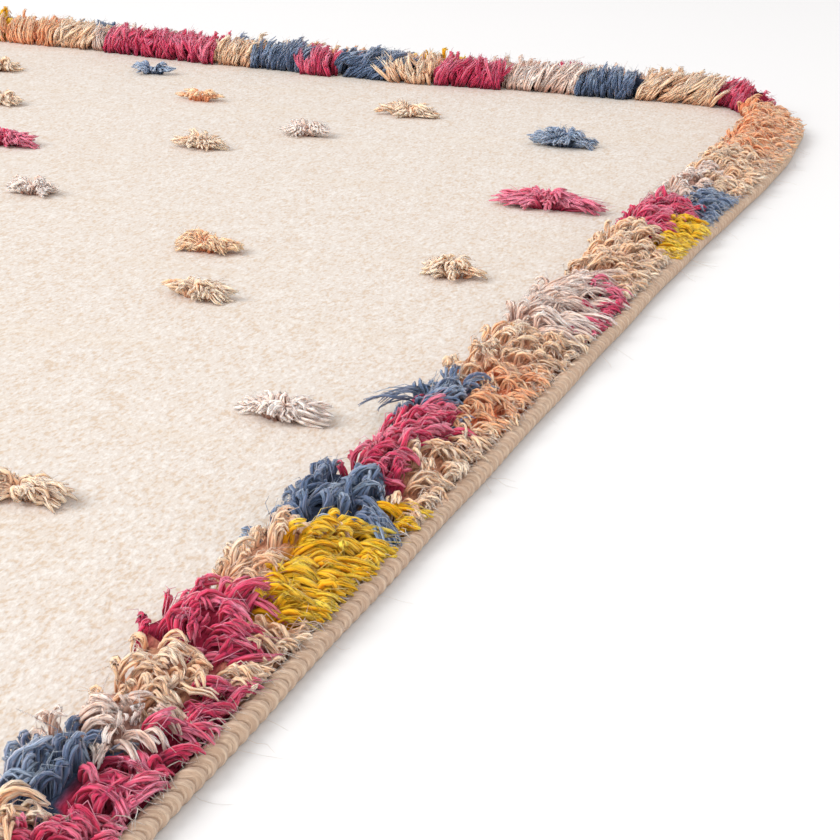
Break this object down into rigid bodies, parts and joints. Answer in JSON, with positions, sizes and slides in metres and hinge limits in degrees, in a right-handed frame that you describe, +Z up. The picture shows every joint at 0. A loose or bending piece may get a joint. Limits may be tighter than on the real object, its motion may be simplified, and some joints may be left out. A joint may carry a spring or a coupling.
{
  "type": "kilim",
  "caption": "Ivory flat-woven wool kilim with a shag border in mixed colours, a whip-stitched edge and small pile tufts in the field.",
  "frame": {"origin": "middle of the flat underside, on the floor", "axes": "+Z up from the floor, +X across the width, +Y along the length"},
  "size_m": [1.2052, 1.6984, 0.031],
  "materials": {
    "ground_wool": "matt nubby flat weave of ivory wool",
    "edge_cord": "matt whip stitches of undyed beige wool",
    "border_pile": "matt shag in patches of plum, slate blue, mustard, coral, tan and mauve wool",
    "yarn_plum": "matt wool yarn, plum",
    "yarn_blue": "matt wool yarn, slate blue",
    "yarn_mustard": "matt wool yarn, mustard",
    "yarn_coral": "matt wool yarn, coral",
    "yarn_tan": "matt wool yarn, tan",
    "yarn_mauve": "matt wool yarn, pale mauve"
  },
  "bodies": {
    "root": {"ground_cloth": "ground_wool", "edge_cord_right": "edge_cord", "edge_cord_far": "edge_cord", "edge_cord_left": "edge_cord", "edge_cord_near": "edge_cord", "border_pile_right": "border_pile", "border_pile_far": "border_pile", "border_pile_left": "border_pile", "border_pile_near": "border_pile", "tuft_01_mauve": "yarn_mauve", "tuft_02_tan": "yarn_tan", "tuft_03_coral": "yarn_coral", "tuft_04_tan": "yarn_tan", "tuft_05_plum": "yarn_plum", "tuft_06_blue": "yarn_blue", "tuft_07_tan": "yarn_tan", "tuft_08_mauve": "yarn_mauve", "tuft_09_tan": "yarn_tan", "tuft_10_mauve": "yarn_mauve", "tuft_11_plum": "yarn_plum", "tuft_12_tan": "yarn_tan", "tuft_13_tan": "yarn_tan", "tuft_14_tan": "yarn_tan", "tuft_15_blue": "yarn_blue", "tuft_16_plum": "yarn_plum", "tuft_17_mustard": "yarn_mustard", "tuft_18_blue": "yarn_blue", "tuft_19_coral": "yarn_coral", "tuft_20_mauve": "yarn_mauve", "tuft_21_plum": "yarn_plum", "tuft_22_coral": "yarn_coral", "tuft_23_blue": "yarn_blue", "tuft_24_tan": "yarn_tan", "tuft_25_mauve": "yarn_mauve", "tuft_26_tan": "yarn_tan", "tuft_27_coral": "yarn_coral", "tuft_28_tan": "yarn_tan", "tuft_29_plum": "yarn_plum", "tuft_30_plum": "yarn_plum", "tuft_31_blue": "yarn_blue", "tuft_32_mauve": "yarn_mauve", "tuft_33_mustard": "yarn_mustard", "tuft_34_tan": "yarn_tan", "tuft_35_coral": "yarn_coral", "tuft_36_tan": "yarn_tan", "tuft_37_plum": "yarn_plum", "tuft_38_blue": "yarn_blue", "tuft_39_mauve": "yarn_mauve", "tuft_40_tan": "yarn_tan", "tuft_41_mustard": "yarn_mustard", "tuft_42_coral": "yarn_coral"}
  },
  "joints": []
}
